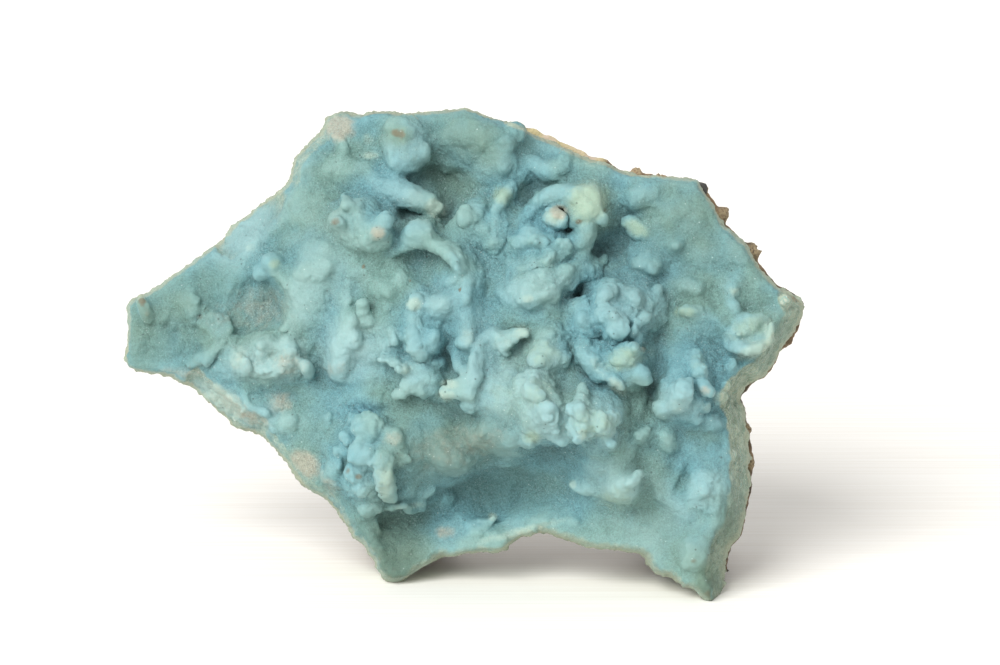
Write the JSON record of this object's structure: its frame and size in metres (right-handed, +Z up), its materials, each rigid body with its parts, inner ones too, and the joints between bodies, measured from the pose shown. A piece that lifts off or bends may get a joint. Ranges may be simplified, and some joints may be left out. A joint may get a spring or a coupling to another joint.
{
  "type": "aragonite mineral specimen",
  "caption": "Hand specimen of blue aragonite: a knobbly crust with fused fingers and hollows on a thin piece of rusty rock, standing on two feet with an arch between them.",
  "frame": {"origin": "on the floor under the middle of the specimen's box", "axes": "+X along the longest side, to the viewer's right; +Y from the knobbly face to the back; +Z up"},
  "size_m": [0.109, 0.0504, 0.074],
  "materials": {
    "aragonite": "matt, sugary pale blue-green mineral",
    "rock": "rough, rusty brown stone"
  },
  "bodies": {
    "root": {"aragonite_crust": "aragonite", "matrix_rock": "rock"}
  },
  "joints": []
}
